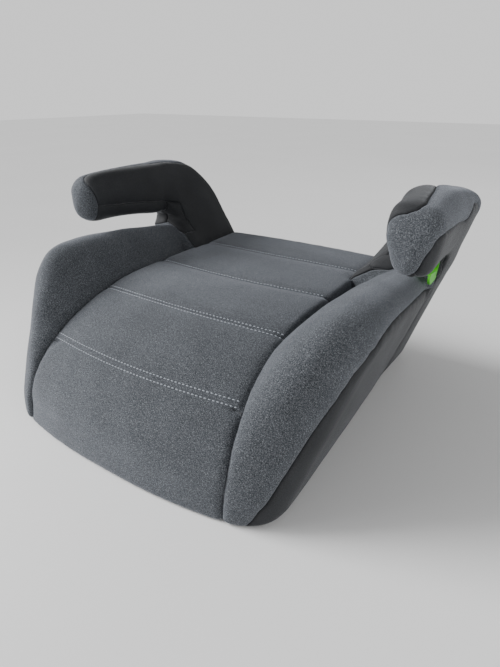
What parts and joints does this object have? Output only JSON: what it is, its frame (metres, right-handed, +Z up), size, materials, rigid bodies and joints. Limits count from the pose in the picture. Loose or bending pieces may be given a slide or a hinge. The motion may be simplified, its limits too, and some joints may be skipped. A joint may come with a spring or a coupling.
{
  "type": "backless child booster seat",
  "caption": "Backless booster seat with a fabric-covered, padded seat that falls away at the front, raised side bolsters and armrests that reach forward over open lap-belt slots.",
  "frame": {"origin": "centre of the base, at the level it stands on", "axes": "+Z up, +X to the seat's left-hand side as its user sits, which is the right-hand side seen from the front, and the front of the seat towards -Y"},
  "size_m": [0.4532, 0.396, 0.2408],
  "materials": {
    "shell": "fine moulded grain",
    "screws": "zinc plated",
    "belt_guide": "moulded, bright green",
    "foam": "open-cell foam",
    "elastic": "woven elastic band",
    "melange_fabric": "woven, flecked grey",
    "smooth_fabric": "fine plain knit, charcoal"
  },
  "bodies": {
    "root": {"seat_shell": "shell", "arm_core_left": "shell", "arm_core_right": "shell", "arm_core_screws": "screws", "belt_guide": "belt_guide", "belt_guide_screw": "screws", "seat_foam": "foam", "bolster_foam_left": "foam", "bolster_foam_right": "foam", "arm_foam_left": "foam", "arm_foam_right": "foam", "cover_front": "melange_fabric", "cover_seat_front": "melange_fabric", "cover_seat_middle": "melange_fabric", "cover_seat_rear": "melange_fabric", "cover_seat_edge": "melange_fabric", "cover_back": "smooth_fabric", "cover_bolster_left": "melange_fabric", "cover_bolster_right": "melange_fabric", "cover_side_left": "smooth_fabric", "cover_side_right": "smooth_fabric", "cover_arm_outer_left": "smooth_fabric", "cover_arm_outer_right": "smooth_fabric", "cover_arm_top_left": "melange_fabric", "cover_arm_top_right": "melange_fabric", "cover_arm_inner_left": "smooth_fabric", "cover_arm_inner_right": "smooth_fabric", "cover_arm_under_left": "smooth_fabric", "cover_arm_under_right": "smooth_fabric", "slot_gusset_left": "smooth_fabric", "slot_gusset_right": "smooth_fabric", "cover_hem": "smooth_fabric", "hem_elastic": "elastic"}
  },
  "joints": []
}
